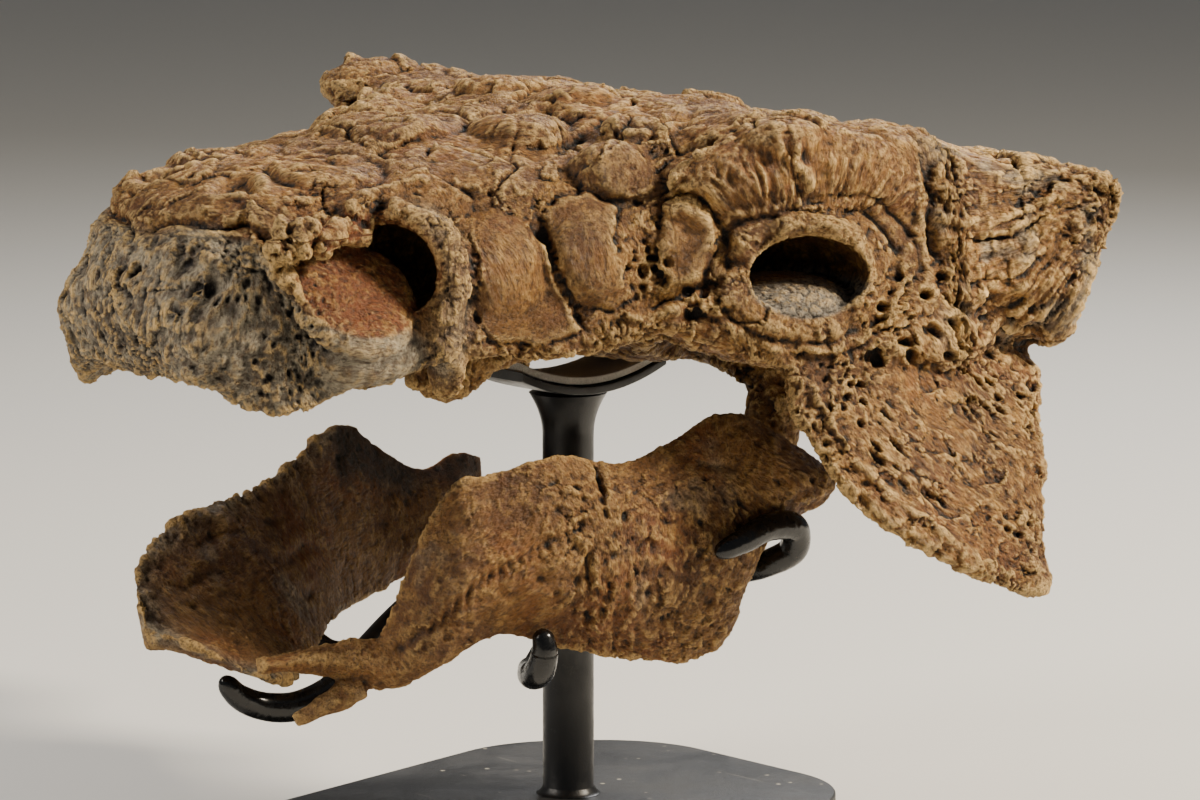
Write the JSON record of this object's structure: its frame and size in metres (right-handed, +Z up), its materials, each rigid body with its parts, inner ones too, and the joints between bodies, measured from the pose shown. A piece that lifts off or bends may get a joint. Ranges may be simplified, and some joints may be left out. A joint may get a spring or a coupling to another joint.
{
  "type": "dinosaur skull fossil",
  "caption": "Life-size fossil skull and lower jaw of an armoured dinosaur, held apart on a black steel museum mount.",
  "frame": {"origin": "middle of the post at the base plate's flat underside", "axes": "+Z up, the snout points to -Y, the animal's left is +X"},
  "size_m": [0.4557, 0.4719, 0.3849],
  "materials": {
    "bone": "matte",
    "beak_bone": "matte",
    "jaw_bone": "matte",
    "steel": "satin",
    "sleeve": "gloss",
    "felt": "matte",
    "plate": "satin"
  },
  "bodies": {
    "root": {"braincase": "bone", "squamosal_horn_left": "bone", "squamosal_horn_right": "bone", "cheek_horn_left": "bone", "cheek_horn_right": "bone", "muzzle": "bone", "beak": "beak_bone", "mandible_left": "jaw_bone", "mandible_right": "jaw_bone", "predentary": "beak_bone", "stand_base": "plate", "stand_post": "steel", "stand_cradle": "steel", "stand_cradle_pad": "felt", "stand_collar": "steel", "stand_arm_front": "steel", "stand_sleeve_front": "sleeve", "stand_arm_left_low": "steel", "stand_sleeve_left_low": "sleeve", "stand_arm_left_rear": "steel", "stand_sleeve_left_rear": "sleeve", "stand_arm_right_low": "steel", "stand_sleeve_right_low": "sleeve", "stand_arm_right_rear": "steel", "stand_sleeve_right_rear": "sleeve"}
  },
  "joints": []
}
